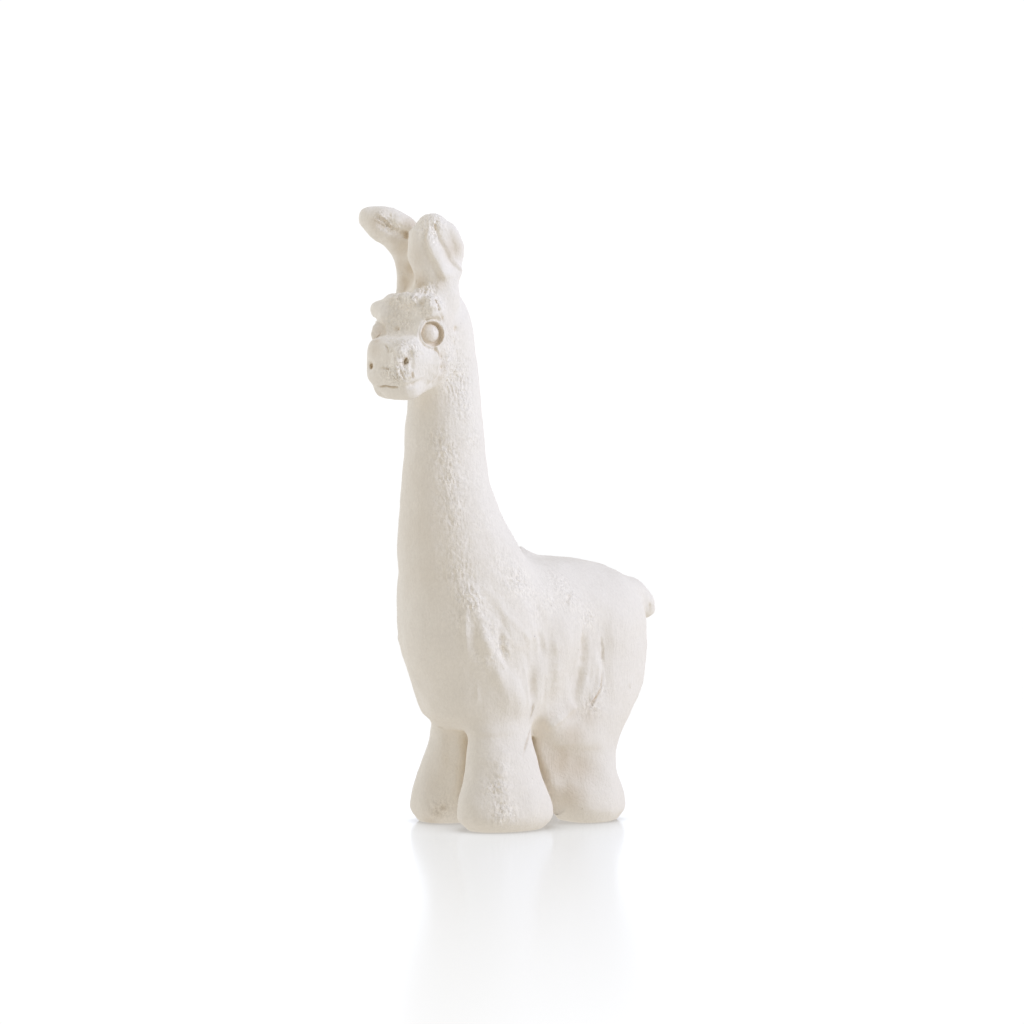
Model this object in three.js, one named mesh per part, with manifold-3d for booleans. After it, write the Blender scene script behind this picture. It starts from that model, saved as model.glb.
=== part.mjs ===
// Llama figurine: a small llama modelled by hand in white unglazed clay, one solid piece.
// Millimetres. +Z is up, the llama looks towards -Y and its own left side is +X.
// The clay is described as a distance field: lumps, blocks and columns melted into each other the
// way a modeller presses pieces of clay together, then stroked with furrows and ridges. A skin is
// drawn over the field. The soles, eyes, nostrils and mouth are cut and set with exact solids.

import * as THREE from "three";
import { mergeVertices } from "three/addons/utils/BufferGeometryUtils.js";
import Module from "manifold-3d";

const point = (x, y, z) => new THREE.Vector3(x, y, z);
const degrees = THREE.MathUtils.degToRad;
const UP = point(0, 0, 1);
const ACROSS = point(1, 0, 0);

// Driving sizes
const NECK_Y = -40; // the neck stands this far in front of the middle of the trunk
const HEAD_TURN = degrees(16); // the head looks this far towards the llama's left

// Trunk: lumps with half sizes across, along and up
const trunkLumps = [
  { centre: point(0, -25, 74), radii: point(28, 29, 33) }, // chest
  { centre: point(0, 4, 72), radii: point(27.5, 38, 33) }, // barrel
  { centre: point(0, 30, 72), radii: point(27.5, 29.2, 30.5) }, // rump
  { centre: point(0, -22, 54), radii: point(26, 24.2, 16), boxy: 2.7 }, // wool over the front legs
  { centre: point(0, 22, 54), radii: point(25, 28, 14), boxy: 2.4 }, // underside of the hindquarters
];
const TRUNK_MELT = 8;

// Columns: upright forms given as level slices, [height, x, y, half across, half along]
const neckSlices = [
  [58, 0, -23, 19, 20],
  [71, 0, -26, 24.6, 26],
  [84, 0, -27, 26, 28],
  [96, 0, -30, 25, 26.5],
  [109, 0, -33.5, 22.8, 24],
  [115.5, 0, -36.2, 20.8, 21.4],
  [122, 0, -37.8, 19.4, 19.8],
  [134, 0, -40, 17.1, 17.2],
  [146, 0, -40.4, 15.7, 15.8],
  [159, 0, -40.6, 14.8, 14.9],
  [177, 0, -40.4, 12.9, 13.1],
  [189, 0, -41, 11.4, 11.4],
  [199, 0, -42.5, 10, 9.6],
  [206, 0, -44, 8, 7],
];
const NECK_MELT = 9;
const legs = {
  leftFront: [
    [0, 18.5, -25, 13.6, 19.5],
    [5, 18.5, -25.5, 15.4, 21.5],
    [12, 18, -25.2, 14.6, 20],
    [20, 16.8, -24.7, 12.8, 17.2],
    [28, 15.4, -24.5, 11.8, 15.4],
    [38, 13.8, -24.5, 10.6, 13.2],
    [52, 12.5, -24.5, 10, 13],
  ],
  rightFront: [
    [0, -18, -22, 13, 16],
    [5, -18, -22, 14.4, 17.8],
    [12, -17.6, -22, 13.8, 17.3],
    [20, -16.4, -21.6, 12.2, 15.2],
    [28, -15, -21.2, 11, 13.4],
    [38, -13.6, -21, 9.8, 11.4],
    [52, -11.5, -20, 9, 11],
  ],
  leftHind: [
    [0, 17.8, 19, 12.4, 14.8],
    [5, 17.8, 19, 14, 16.5],
    [12, 17.2, 17.4, 13.4, 17.5],
    [20, 16, 15.2, 12.6, 17.6],
    [28, 15.5, 14.2, 12, 19.4],
    [38, 14.5, 17.2, 12.8, 22.4],
    [52, 13, 24, 13.6, 26.4],
    [64, 12, 27, 12, 23],
  ],
  rightHind: [
    [0, -17.8, 18, 12.4, 14.8],
    [5, -17.8, 18, 14, 16.5],
    [12, -17.2, 17, 13.4, 17],
    [20, -16, 15.4, 12.6, 17.2],
    [28, -15.5, 14.6, 12, 19],
    [38, -14.5, 17.4, 12.8, 22],
    [52, -13, 24, 13.6, 26.4],
    [64, -12, 27, 12, 23],
  ],
};
const LEG_MELT = 5;

// Tail: a short stub bent down over the rump, a chain of [x, y, z, radius]
const tail = [[0, 46, 87.5, 10.5], [0, 59.6, 86.5, 8], [0, 67, 83.8, 5.2]];
const TAIL_MELT = 5;

// Strokes of the fingers through the wool of the flanks, drawn in side view as [y, z] points.
// A positive depth is a furrow and a negative one a ridge
const strokes = [
  { line: [[-47, 92], [-41.5, 75], [-37.5, 64.5], [-29, 55.5], [-22, 47]], half: 8, depth: -1.8 },
  { line: [[-41, 84], [-34, 70], [-27, 60]], half: 7, depth: 1.2 },
  { line: [[-19.5, 68], [-20, 54], [-19.5, 40]], half: 7, depth: 2.4 },
  { line: [[-14, 82], [-11.5, 68]], half: 7, depth: 1 },
  { line: [[-3, 78], [-1, 68], [-2.5, 58], [0, 44]], half: 7, depth: -1.6 },
  { line: [[6, 70], [6, 58], [5, 44]], half: 7, depth: 2 },
  { line: [[16, 76], [18, 62], [15, 45]], half: 7, depth: 2.4 },
];
const STROKE_INNER_X = 14; // strokes reach in from the flanks no nearer the middle than this

// Head: sizes are measured from the neck's axis, in the head's own frame, turned with it
const skull = { centre: point(0, -21, 189), half: point(13.6, 10.5, 17), round: 9 };
const backOfHead = { centre: point(0, -10, 190), radii: point(13.2, 15.5, 18) };
const muzzle = { centre: point(0, -28, 179), half: point(11, 14, 9.8), round: 6.5 };
const lowerLip = { centre: point(0, -27, 171.8), half: point(9.8, 12, 4.4), round: 4.2, tilt: 20 };
const foreheadHollow = { centre: point(1.5, -38.5, 201), radii: point(10, 10, 11) };
const browRolls = [
  [point(-12.6, -26.2, 199.6), 3.9, point(-7, -30, 197), 2.4],
  [point(3, -29, 203), 2.4, point(11.5, -25.5, 200), 3.2],
];
const HEAD_MELT = 4;
const NAPE_MELT = 7;
const HOLLOW_MELT = 3;
const BROW_MELT = 2;

// Ears, in the head's frame, as chains of [x, y, z, radius]: the left one stands and is folded
// lengthwise, the right one flops over to its side
const leftEarRoll = [[7.4, -14.2, 207, 6.8], [5.9, -16.9, 221, 6.4], [4.6, -17, 230.6, 5.5]];
const leftEarFace = [
  [4.6, -16.3, 207, 5.4],
  [4, -16.6, 212, 5.3],
  [2.4, -18.8, 220, 5.6],
  [1.8, -19.2, 227, 5.3],
];
const leftEarLobe = [[7, -9.5, 212, 4.6], [7.4, -9.5, 222, 5.6], [6, -12, 227, 5.8]];
const rightEarChain = [
  [-7.6, -11, 205, 6.5],
  [-8.3, -11.5, 219.5, 5.4],
  [-11.3, -13, 228.4, 6.8],
  [-17.7, -16, 232.8, 6.2],
  [-22.6, -18, 235.2, 4.8],
];
const rightEarFold = [point(-17, -21.3, 234.2), 1, point(-5.8, -17.6, 227.8), 2.4];
const EAR_FOLD_MELT = 0.8;
const EAR_MELT = 3;
const EAR_ROOT_MELT = 6;

// Eyes: a ring pressed with a tube, and a clay ball set inside it
const EYE_RADIUS = 5.3;
const EYE_BALL = 4.1;
const EYE_STAND = 0.9; // the ring stands this proud of the skin
const EYE_DEPTH = 1.7; // the groove inside the ring goes this deep
const EYE_FACING = degrees(57); // measured from straight ahead to the side
const eyePlace = { out: 12.4, ahead: 28.6, z: 190.2 };

// Nostrils and mouth
const NOSTRIL_RADIUS = 1.6;
const NOSTRIL_DEPTH = 4;
const nostrils = [point(7.8, -40, 179), point(-6.8, -40.6, 178)];
const mouthLine = [
  point(-11.6, -27, 175.2),
  point(-10.2, -36.6, 171),
  point(-7, -40.6, 170.3),
  point(7, -40.6, 170.3),
  point(10.2, -36.6, 171),
  point(11.6, -27, 175.2),
];
const MOUTH_GAP = 0.8;
const MOUTH_DEPTH = 2;

// Distance from a point to the skin of each basic form: less than nothing inside the clay
function lump(p, { centre, radii, boxy = 2 }) {
  const offset = p.clone().sub(centre);
  const share = offset.clone().divide(radii);
  const level = Math.hypot(share.x, share.y) ** boxy;
  const near = Math.max((level + Math.abs(share.z) ** boxy) ** (1 / boxy), 1e-6);
  return offset.length() * (1 - 1 / near);
}

function block(p, { centre, half, round, tilt = 0 }) {
  const offset = p.clone().sub(centre).applyAxisAngle(ACROSS, -degrees(tilt));
  const over = point(Math.abs(offset.x), Math.abs(offset.y), Math.abs(offset.z));
  over.sub(half).addScalar(round);
  const inner = Math.min(Math.max(over.x, over.y, over.z), 0);
  return over.max(point(0, 0, 0)).length() + inner - round;
}

function taper(p, from, fromRadius, to, toRadius) {
  const axis = to.clone().sub(from);
  const length = axis.length();
  axis.divideScalar(length);
  const offset = p.clone().sub(from);
  const along = offset.dot(axis);
  const out = Math.sqrt(Math.max(0, offset.lengthSq() - along * along));
  const lean = (fromRadius - toRadius) / length;
  const steady = Math.sqrt(Math.max(0, 1 - lean * lean));
  const foot = along + (out * lean) / steady;
  if (foot < 0) return Math.hypot(along, out) - fromRadius;
  if (foot > length) return Math.hypot(along - length, out) - toRadius;
  return out * steady + along * lean - fromRadius;
}

function chain(p, links, softness) {
  let clay = Infinity;
  for (let i = 1; i < links.length; i++) {
    const [low, high] = [links[i - 1], links[i]];
    const link = taper(p, point(...low.slice(0, 3)), low[3], point(...high.slice(0, 3)), high[3]);
    clay = i === 1 ? link : melt(clay, link, softness);
  }
  return clay;
}

// A column of level ovals, smooth from slice to slice
function columnOf(slices) {
  const heights = slices.map((slice) => slice[0]);
  const between = new THREE.CubicInterpolant(heights, slices.flatMap((slice) => slice.slice(1)), 4);
  return (p) => {
    const [x, y, across, along] = between.evaluate(p.z);
    const offset = new THREE.Vector2(p.x - x, p.y - y);
    const share = Math.max(Math.hypot(offset.x / across, offset.y / along), 1e-6);
    const wall = offset.length() * (1 - 1 / share);
    return Math.max(wall, p.z - heights.at(-1), heights[0] - 12 - p.z);
  };
}

// Melting: two forms joined with a fillet about as wide as the given softness
function melt(a, b, softness) {
  const mix = Math.max(softness - Math.abs(a - b), 0) / softness;
  return Math.min(a, b) - (mix * mix * softness) / 4;
}

const hollow = (clay, tool, softness) => -melt(-clay, tool, softness);

// How far a stroke sinks the skin at a point: deepest on its line, nothing at its edges
function strokeDepth(p, { line, half, depth }) {
  const here = new THREE.Vector2(p.y, p.z);
  let near = Infinity;
  for (let i = 1; i < line.length; i++) {
    const [from, to] = [new THREE.Vector2(...line[i - 1]), new THREE.Vector2(...line[i])];
    const run = to.clone().sub(from);
    const share = THREE.MathUtils.clamp(here.clone().sub(from).dot(run) / run.lengthSq(), 0, 1);
    near = Math.min(near, here.distanceTo(from.addScaledVector(run, share)));
  }
  const inward = THREE.MathUtils.smoothstep(Math.abs(p.x), STROKE_INNER_X - 5, STROKE_INNER_X);
  return depth * inward * (1 - THREE.MathUtils.smoothstep(near, 0, half));
}

const neck = columnOf(neckSlices);
const legColumns = Object.values(legs).map(columnOf);
const toHead = (p) => p.clone().sub(point(0, NECK_Y, 0)).applyAxisAngle(UP, -HEAD_TURN);

function bodyField(p) {
  let clay = neck(p);
  for (const part of trunkLumps) clay = melt(clay, lump(p, part), TRUNK_MELT);
  for (const stroke of strokes) clay += strokeDepth(p, stroke);
  for (const leg of legColumns) clay = melt(clay, leg(p), LEG_MELT);
  return melt(clay, chain(p, tail, 2), TAIL_MELT);
}

function headField(q) {
  let clay = melt(block(q, skull), lump(q, backOfHead), HEAD_MELT);
  clay = melt(clay, block(q, muzzle), HEAD_MELT);
  clay = hollow(clay, lump(q, foreheadHollow), HOLLOW_MELT);
  for (const roll of browRolls) clay = melt(clay, taper(q, ...roll), BROW_MELT);
  return melt(clay, block(q, lowerLip), 1);
}

function earField(q) {
  const front = melt(chain(q, leftEarRoll, 2), chain(q, leftEarFace, 2), 2);
  const left = melt(front, chain(q, leftEarLobe, 2), EAR_FOLD_MELT);
  const right = hollow(chain(q, rightEarChain, 3), taper(q, ...rightEarFold), 1.5);
  return melt(left, right, EAR_MELT);
}

function clayField(p) {
  const q = toHead(p);
  const clay = melt(bodyField(p), headField(q), NAPE_MELT);
  return melt(clay, earField(q), EAR_ROOT_MELT);
}

// The skin is drawn on a grid whose box narrows with the figure, level by level, so that the
// head gets a finer mesh than the trunk
const GRID_ACROSS = 15;
const GRID_ALONG = 30;
const FLOOR_MARGIN = 18; // the grid starts this far under the soles, which are cut flat later
const boxes = [
  { z: -FLOOR_MARGIN, x: 0, y: 0, half: [42, 80], step: 5 },
  { z: 70, x: 0, y: 0, half: [39, 81], step: 5 },
  { z: 95, x: 0, y: -1, half: [38, 81], step: 4.8 },
  { z: 116, x: 0, y: -12, half: [33, 64], step: 4.4 },
  { z: 135, x: 0, y: -42, half: [30, 48], step: 4.2 },
  { z: 154, x: 1, y: -48, half: [26, 44], step: 3.4 },
  { z: 164, x: 2, y: -50, half: [23, 40], step: 2.6 },
  { z: 204, x: 0, y: -52, half: [25, 38], step: 2.6 },
  { z: 248, x: -4, y: -54, half: [33, 32], step: 2.6 },
];

function boxAt(z) {
  let i = 1;
  while (i < boxes.length - 1 && boxes[i].z < z) i++;
  const [low, high] = [boxes[i - 1], boxes[i]];
  const share = THREE.MathUtils.clamp((z - low.z) / (high.z - low.z), 0, 1);
  const blend = (a, b) => THREE.MathUtils.lerp(a, b, share);
  return {
    x: blend(low.x, high.x),
    y: blend(low.y, high.y),
    half: [blend(low.half[0], high.half[0]), blend(low.half[1], high.half[1])],
    step: blend(low.step, high.step),
  };
}

function gridLevels() {
  const levels = [boxes[0].z];
  while (levels.at(-1) < boxes.at(-1).z) levels.push(levels.at(-1) + boxAt(levels.at(-1)).step);
  return levels;
}

// Corners of a grid cell that belong together: neighbours on the same side of the skin, and the
// two outer corners of a face whose corners alternate
function cornerGroups(inside) {
  const group = [0, 1, 2, 3, 4, 5, 6, 7];
  const join = (a, b) => {
    const [from, to] = [group[a], group[b]];
    for (let c = 0; c < 8; c++) if (group[c] === from) group[c] = to;
  };
  for (let c = 0; c < 8; c++) {
    for (const bit of [1, 2, 4]) {
      if (!(c & bit) && inside[c] === inside[c | bit]) join(c, c | bit);
    }
  }
  for (let c = 0; c < 8; c++) {
    for (const [u, v] of [[1, 2], [2, 4], [4, 1]]) {
      if (c & (u | v)) continue;
      const face = [c, c | u, c | u | v, c | v];
      const alternate = inside[face[0]] === inside[face[2]] && inside[face[1]] === inside[face[3]];
      if (!alternate || inside[face[0]] === inside[face[1]]) continue;
      const first = inside[face[0]] ? 1 : 0;
      join(face[first], face[first + 2]);
    }
  }
  return group;
}

// Surface nets: one vertex for every patch of skin in a grid cell, one face across every grid
// edge that the skin crosses
function drawSkin(field) {
  const levels = gridLevels();
  const size = [GRID_ACROSS + 1, GRID_ALONG + 1, levels.length];
  const corners = [];
  const values = [];
  for (const z of levels) {
    const box = boxAt(z);
    for (let j = 0; j < size[1]; j++) {
      for (let i = 0; i < size[0]; i++) {
        const corner = point(
          box.x + box.half[0] * ((2 * i) / GRID_ACROSS - 1),
          box.y + box.half[1] * ((2 * j) / GRID_ALONG - 1),
          z,
        );
        corners.push(corner);
        values.push(field(corner));
      }
    }
  }
  const strides = [1, size[0], size[0] * size[1]];
  const reach = (c) => (c & 1) * strides[0] + ((c >> 1) & 1) * strides[1] + (c >> 2) * strides[2];
  const edgeKey = (cell, corner, axis) => (cell * 8 + corner) * 3 + axis;
  const vertices = [];
  const vertexOfEdge = new Map();
  for (let k = 0; k < size[2] - 1; k++) {
    for (let j = 0; j < size[1] - 1; j++) {
      for (let i = 0; i < size[0] - 1; i++) {
        const cell = i * strides[0] + j * strides[1] + k * strides[2];
        const inside = [0, 1, 2, 3, 4, 5, 6, 7].map((c) => values[cell + reach(c)] < 0);
        if (inside.every((side) => side === inside[0])) continue;
        const group = cornerGroups(inside);
        const patches = new Map();
        for (let c = 0; c < 8; c++) {
          for (let axis = 0; axis < 3; axis++) {
            const d = c | (1 << axis);
            if (d === c || inside[c] === inside[d]) continue;
            const name = inside[c] ? group[c] * 8 + group[d] : group[d] * 8 + group[c];
            if (!patches.has(name)) patches.set(name, []);
            const [a, b] = [cell + reach(c), cell + reach(d)];
            const crossing = corners[a].clone().lerp(corners[b], values[a] / (values[a] - values[b]));
            patches.get(name).push({ crossing, key: edgeKey(cell, c, axis) });
          }
        }
        for (const patch of patches.values()) {
          const middle = point(0, 0, 0);
          for (const { crossing, key } of patch) {
            middle.addScaledVector(crossing, 1 / patch.length);
            vertexOfEdge.set(key, vertices.length);
          }
          vertices.push(settle(field, middle));
        }
      }
    }
  }
  const triangles = [];
  for (let k = 1; k < size[2] - 1; k++) {
    for (let j = 1; j < size[1] - 1; j++) {
      for (let i = 1; i < size[0] - 1; i++) {
        const start = i * strides[0] + j * strides[1] + k * strides[2];
        for (let axis = 0; axis < 3; axis++) {
          const inside = values[start] < 0;
          if (inside === values[start + strides[axis]] < 0) continue;
          const [u, v] = [(axis + 1) % 3, (axis + 2) % 3];
          const ring = [[0, 0], [1, 0], [1, 1], [0, 1]].map(([m, n]) => {
            const cell = start - m * strides[u] - n * strides[v];
            return vertexOfEdge.get(edgeKey(cell, (m << u) | (n << v), axis));
          });
          if (!inside) ring.reverse();
          triangles.push(...splitFace(vertices, ring));
        }
      }
    }
  }
  return { vertices, triangles };
}

// Moves a vertex onto the skin, against the field's slope
function settle(field, vertex) {
  const PROBE = 0.05;
  const ROUNDS = 3;
  for (let round = 0; round < ROUNDS; round++) {
    const here = field(vertex);
    const slope = point(
      field(vertex.clone().add(point(PROBE, 0, 0))) - here,
      field(vertex.clone().add(point(0, PROBE, 0))) - here,
      field(vertex.clone().add(point(0, 0, PROBE))) - here,
    ).divideScalar(PROBE);
    if (slope.lengthSq() < 0.1) break;
    vertex.addScaledVector(slope, (-0.8 * here) / slope.lengthSq());
  }
  return vertex;
}

// Splits a four-sided face along its shorter diagonal
function splitFace(vertices, [a, b, c, d]) {
  const straight = vertices[a].distanceTo(vertices[c]) <= vertices[b].distanceTo(vertices[d]);
  return straight ? [a, b, c, a, c, d] : [a, b, d, b, c, d];
}

// Solids for cutting and joining
const wasm = await Module();
wasm.setup();

function solidFrom(positions, triangles) {
  return new wasm.Manifold(
    new wasm.Mesh({
      numProp: 3,
      vertProperties: Float32Array.from(positions),
      triVerts: Uint32Array.from(triangles),
    }),
  );
}

function solidOf(geometry) {
  const bare = new THREE.BufferGeometry();
  bare.setAttribute("position", geometry.getAttribute("position"));
  if (geometry.index) bare.setIndex(geometry.index);
  const merged = mergeVertices(bare, 1e-4);
  return solidFrom(merged.getAttribute("position").array, merged.index.array);
}

function geometryOf(solid) {
  const mesh = solid.getMesh();
  const geometry = new THREE.BufferGeometry();
  geometry.setAttribute("position", new THREE.BufferAttribute(mesh.vertProperties, 3));
  geometry.setIndex(new THREE.BufferAttribute(mesh.triVerts, 1));
  return geometry;
}

// A solid turned on its own axis, the axis laid along a direction in the head's frame
function turnedOnHead(profile, segments, place, facing) {
  const outline = profile.map(([radius, along]) => new THREE.Vector2(radius, along));
  const geometry = new THREE.LatheGeometry(outline, segments);
  const pose = new THREE.Quaternion().setFromUnitVectors(point(0, 1, 0), facing);
  geometry.applyQuaternion(pose).translate(place.x, place.y, place.z);
  return solidOf(geometry.rotateZ(HEAD_TURN).translate(0, NECK_Y, 0));
}

const skin = drawSkin(clayField);
let clay = solidFrom(
  skin.vertices.flatMap((v) => v.toArray()),
  skin.triangles,
);

// Eyes: the socket is cleared, then the ring with its ball is set in it
const EYE_BURIED = 6;
const EYE_SEGMENTS = 16;
const BALL_ROWS = 3;
const socketProfile = [
  [0, -3],
  [EYE_RADIUS - 0.4, -3],
  [EYE_RADIUS - 0.4, 6],
  [0, 6],
];
const eyeProfile = [
  [0, -EYE_BURIED],
  [EYE_RADIUS, -EYE_BURIED],
  [EYE_RADIUS, 0],
  [EYE_RADIUS - 0.2, EYE_STAND],
  [EYE_RADIUS - 0.8, EYE_STAND],
  [EYE_BALL + 0.1, -EYE_DEPTH],
];
for (let row = 0; row <= BALL_ROWS; row++) {
  const angle = (row / BALL_ROWS) * (Math.PI / 2);
  const radius = row === BALL_ROWS ? 0 : EYE_BALL * Math.cos(angle);
  eyeProfile.push([radius, EYE_BALL * 0.8 * Math.sin(angle) - EYE_DEPTH]);
}
for (const side of [-1, 1]) {
  const facing = point(side * Math.sin(EYE_FACING), -Math.cos(EYE_FACING), 0);
  const place = point(side * eyePlace.out, -eyePlace.ahead, eyePlace.z);
  clay = clay.subtract(turnedOnHead(socketProfile, EYE_SEGMENTS, place, facing));
  clay = clay.add(turnedOnHead(eyeProfile, EYE_SEGMENTS, place, facing));
}

// Nostrils
const nostrilProfile = [
  [0, -NOSTRIL_DEPTH],
  [NOSTRIL_RADIUS, 0],
  [NOSTRIL_RADIUS, 4],
  [0, 4],
];
for (const place of nostrils) {
  clay = clay.subtract(turnedOnHead(nostrilProfile, 10, place, point(0, -1, 0)));
}

// Mouth: a slit between the lips, cut with one flat blade for every stretch of its line
for (let i = 1; i < mouthLine.length; i++) {
  const run = mouthLine[i].clone().sub(mouthLine[i - 1]);
  const middle = mouthLine[i].clone().add(mouthLine[i - 1]).multiplyScalar(0.5);
  const blade = new THREE.BoxGeometry(run.length() + 0.6, 2 * MOUTH_DEPTH, MOUTH_GAP);
  blade.rotateY(-Math.asin(run.z / run.length())).rotateZ(Math.atan2(run.y, run.x));
  blade.translate(middle.x, middle.y, middle.z).rotateZ(HEAD_TURN).translate(0, NECK_Y, 0);
  clay = clay.subtract(solidOf(blade));
}

// The soles are rubbed flat
const ground = new THREE.BoxGeometry(200, 200, 40).translate(0, 0, -20);
clay = clay.subtract(solidOf(ground));

// The figurine is set with the middle of its plan on the Z axis
const geometry = geometryOf(clay).toNonIndexed();
geometry.computeVertexNormals();
geometry.computeBoundingBox();
const middle = geometry.boundingBox.getCenter(point(0, 0, 0));
geometry.translate(-middle.x, -middle.y, 0);

const material = new THREE.MeshStandardMaterial({ color: 0xe9e5df, roughness: 0.85, metalness: 0 });
const llama = new THREE.Mesh(geometry, material);
llama.name = "llama";

const figurine = new THREE.Group();
figurine.add(llama);

export default figurine;
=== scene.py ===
# %% [markdown]
# # A llama in white clay
# The figurine is one lump of white unglazed clay, 240 mm tall, pinched and stroked into
# shape by hand. Its main form comes with the frame. This lesson takes that form as a
# potter takes a blank, makes a fine skin of it, and then works the skin: the big strokes
# first, the face next, and the scratches and the grain of the clay last.

# %% Open the frame
import math

import bmesh
import bpy
import numpy as np
from mathutils import Matrix, Vector, noise
from mathutils.bvhtree import BVHTree


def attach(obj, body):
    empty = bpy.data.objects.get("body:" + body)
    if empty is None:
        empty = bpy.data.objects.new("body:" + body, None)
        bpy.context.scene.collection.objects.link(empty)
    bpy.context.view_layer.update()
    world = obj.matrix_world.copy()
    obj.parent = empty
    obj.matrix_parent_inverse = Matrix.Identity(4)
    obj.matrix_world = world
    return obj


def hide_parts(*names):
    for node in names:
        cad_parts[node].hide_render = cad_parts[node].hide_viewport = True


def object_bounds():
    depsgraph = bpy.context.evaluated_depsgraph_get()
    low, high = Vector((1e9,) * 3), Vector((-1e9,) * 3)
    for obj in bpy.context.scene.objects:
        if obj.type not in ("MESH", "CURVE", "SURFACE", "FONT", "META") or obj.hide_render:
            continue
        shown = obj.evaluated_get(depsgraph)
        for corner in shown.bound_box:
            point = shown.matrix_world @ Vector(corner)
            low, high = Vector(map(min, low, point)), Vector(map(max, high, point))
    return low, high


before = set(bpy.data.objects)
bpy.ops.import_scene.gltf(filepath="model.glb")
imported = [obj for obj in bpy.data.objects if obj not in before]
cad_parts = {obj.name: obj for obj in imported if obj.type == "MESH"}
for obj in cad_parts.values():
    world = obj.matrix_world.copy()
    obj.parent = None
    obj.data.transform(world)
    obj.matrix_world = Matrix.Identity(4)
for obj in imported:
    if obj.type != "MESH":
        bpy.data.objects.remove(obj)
cad_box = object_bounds()
print("the blank is", [round(float(n) * 1000, 1) for n in cad_box[1] - cad_box[0]], "mm")

# %% [markdown]
# ## The camera
# The figurine was photographed from about 1.3 m away, nearly level with its chest, from
# 48 degrees round its front towards its left side. A long lens keeps its feet on one
# line. The camera comes first because later marks are placed along its lines of sight.

# %% Camera
FRAME_PIXELS = 1024
LENS = 118.0
SENSOR = 36.0
AZIMUTH = math.radians(48.0)
ELEVATION = math.radians(1.30)
DISTANCE = 1.323
AIM = Vector((-0.003416, 0.001919, 0.121530))
BACK = Vector(
    (
        math.sin(AZIMUTH) * math.cos(ELEVATION),
        -math.cos(AZIMUTH) * math.cos(ELEVATION),
        math.sin(ELEVATION),
    )
)
RIGHT = Vector((math.cos(AZIMUTH), math.sin(AZIMUTH), 0.0))
UPWARD = BACK.cross(RIGHT)
EYE = AIM + BACK * DISTANCE

lens = bpy.data.cameras.new("camera")
lens.lens = LENS
lens.sensor_width = SENSOR
camera = bpy.data.objects.new("camera", lens)
camera.location = EYE
camera.rotation_mode = "QUATERNION"
camera.rotation_quaternion = BACK.to_track_quat("Z", "Y")
bpy.context.scene.collection.objects.link(camera)
bpy.context.scene.camera = camera
print("camera at", [round(n, 3) for n in EYE])

# %% [markdown]
# ## The stage
# A white table that is so brightly lit that it melts into the white behind it, with a
# faint mirror image under the feet, as a sheet of white acrylic gives. The mirror fades
# with the distance from the figurine, and its edges are a little blurred. Where the feet
# shut out the light, the table turns a warm grey.

# %% Floor
FLOOR_HALF = 6.0


def new_material(name):
    made = bpy.data.materials.new(name)
    made.use_nodes = True
    made.node_tree.nodes.clear()
    return made, made.node_tree


def add(tree, kind, values=(), **settings):
    """A node with its settings, its unlinked inputs by name and its linked ones."""
    node = tree.nodes.new("ShaderNode" + kind)
    for name, value in settings.items():
        setattr(node, name, value)
    for name, value in dict(values).items():
        socket = node.inputs[name]
        if isinstance(value, bpy.types.NodeSocket):
            tree.links.new(value, socket)
        else:
            socket.default_value = value
    return node


def make_floor_finish():
    finish, tree = new_material("white_acrylic_table")
    place = add(tree, "TexCoord").outputs["Object"]
    far = add(tree, "VectorMath", {0: place}, operation="LENGTH").outputs["Value"]
    fade = add(tree, "MapRange", {"Value": far, "From Min": 0.07, "From Max": 0.60, "To Min": 0.35, "To Max": 0.0})
    shut = add(tree, "AmbientOcclusion", {"Distance": 0.035}, samples=16)
    open_share = add(
        tree, "MapRange", {"Value": shut.outputs["AO"], "From Min": 0.25, "From Max": 0.95},
        interpolation_type="SMOOTHSTEP",
    )
    shade = add(
        tree, "MixRGB",
        {"Fac": open_share.outputs["Result"], "Color1": (0.56, 0.53, 0.49, 1), "Color2": (1.01, 1.01, 1.01, 1)},
    )
    glow = add(tree, "Emission", {"Color": shade.outputs["Color"], "Strength": 1.0})
    mirror = add(tree, "BsdfGlossy", {"Roughness": 0.18, "Color": (0.83, 0.87, 0.96, 1)})
    both = add(tree, "MixShader", {"Fac": fade.outputs["Result"], 1: glow.outputs[0], 2: mirror.outputs[0]})
    add(tree, "OutputMaterial", {"Surface": both.outputs[0]})
    return finish


sheet = bmesh.new()
bmesh.ops.create_grid(sheet, x_segments=1, y_segments=1, size=FLOOR_HALF)
floor_mesh = bpy.data.meshes.new("floor")
sheet.to_mesh(floor_mesh)
sheet.free()
floor = bpy.data.objects.new("floor", floor_mesh)
bpy.context.scene.collection.objects.link(floor)
floor_mesh.materials.append(make_floor_finish())
floor.visible_diffuse = False

# %% [markdown]
# ## The light
# A big soft box stands to the right of the camera, so the flank is bright and the chest
# turns away into a warm shade. A small one near the head opens up the face. The white
# surroundings fill the rest: the camera and the mirror see them as plain white, while they
# light the clay less and warmer, and more from below, where the white table is.

# %% World and lights
FILL = 0.65


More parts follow.
